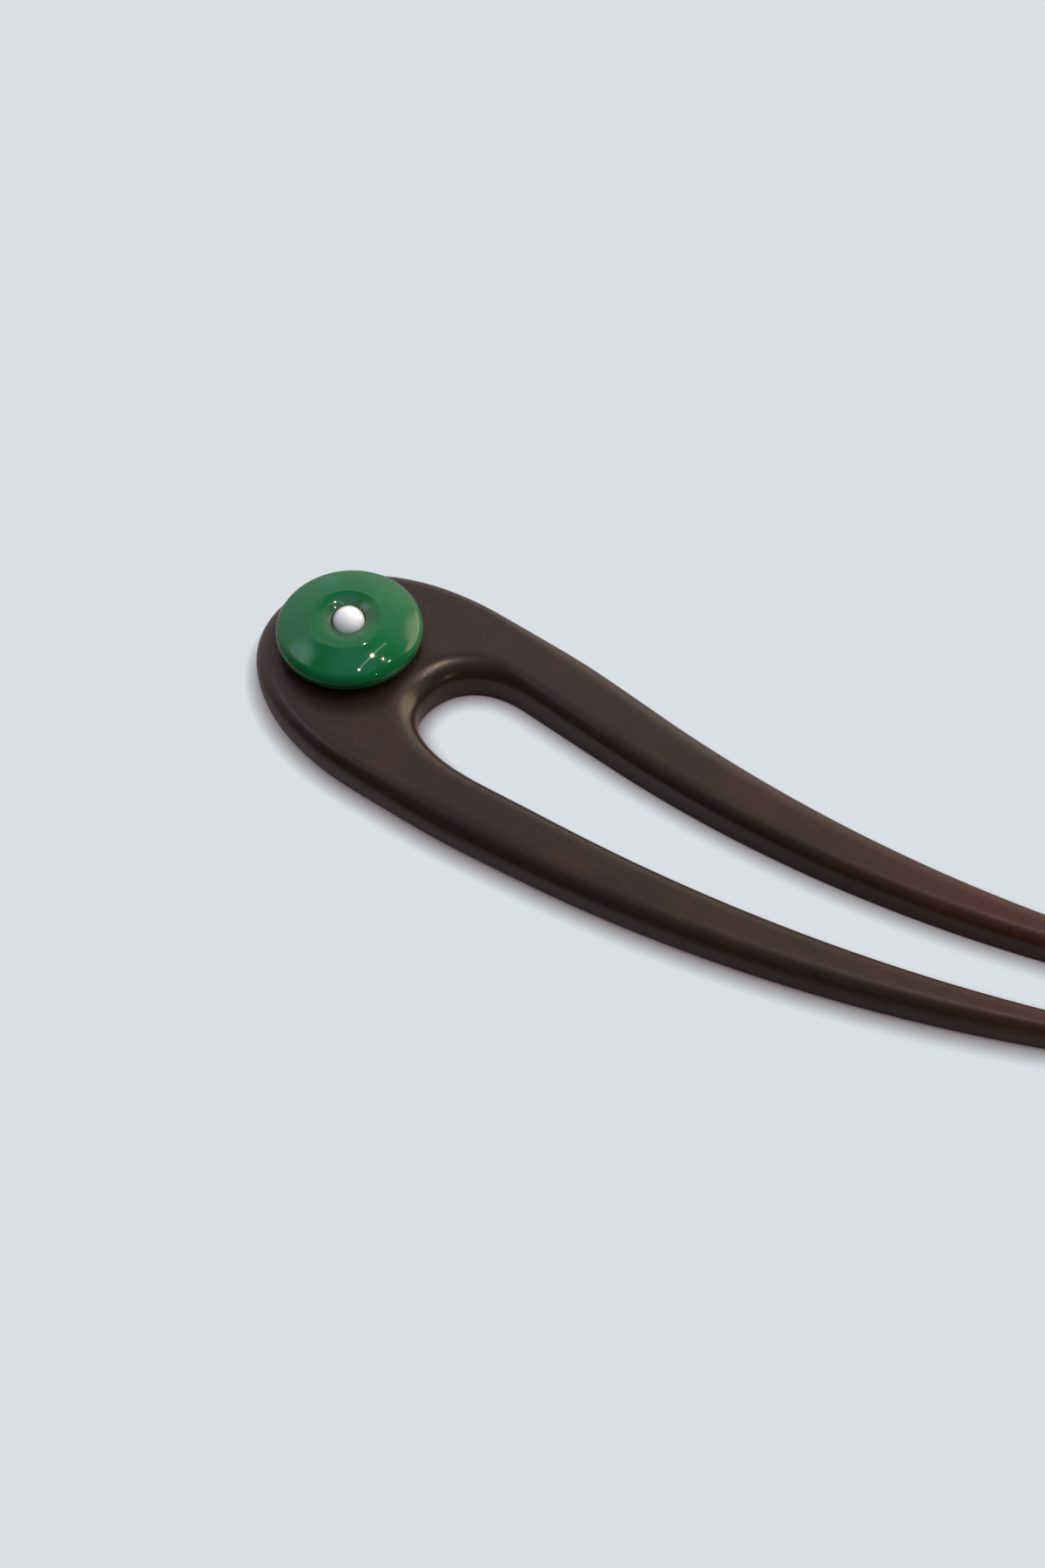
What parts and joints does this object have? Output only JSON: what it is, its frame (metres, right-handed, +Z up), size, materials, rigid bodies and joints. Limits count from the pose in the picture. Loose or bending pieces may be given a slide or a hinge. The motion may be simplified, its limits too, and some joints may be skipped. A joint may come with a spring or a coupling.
{
  "type": "hair fork",
  "caption": "Dark polished wooden hair fork whose long prongs sweep to one side, with a domed green stone disc and a white pearl on its round head.",
  "frame": {"origin": "middle of the fork's outline seen from above, on the flat underside that it lies on", "axes": "+X from the round head towards the prong tips, +Y towards the side that the prongs sweep to, +Z up out of the top face"},
  "size_m": [0.1394, 0.0404, 0.0121],
  "materials": {
    "wood": "satin hand polish on very fine dark heartwood",
    "green_stone": "high polish, slightly translucent",
    "pearl": "soft pearl lustre"
  },
  "bodies": {
    "root": {"fork": "wood", "disc": "green_stone", "pearl": "pearl"}
  },
  "joints": []
}
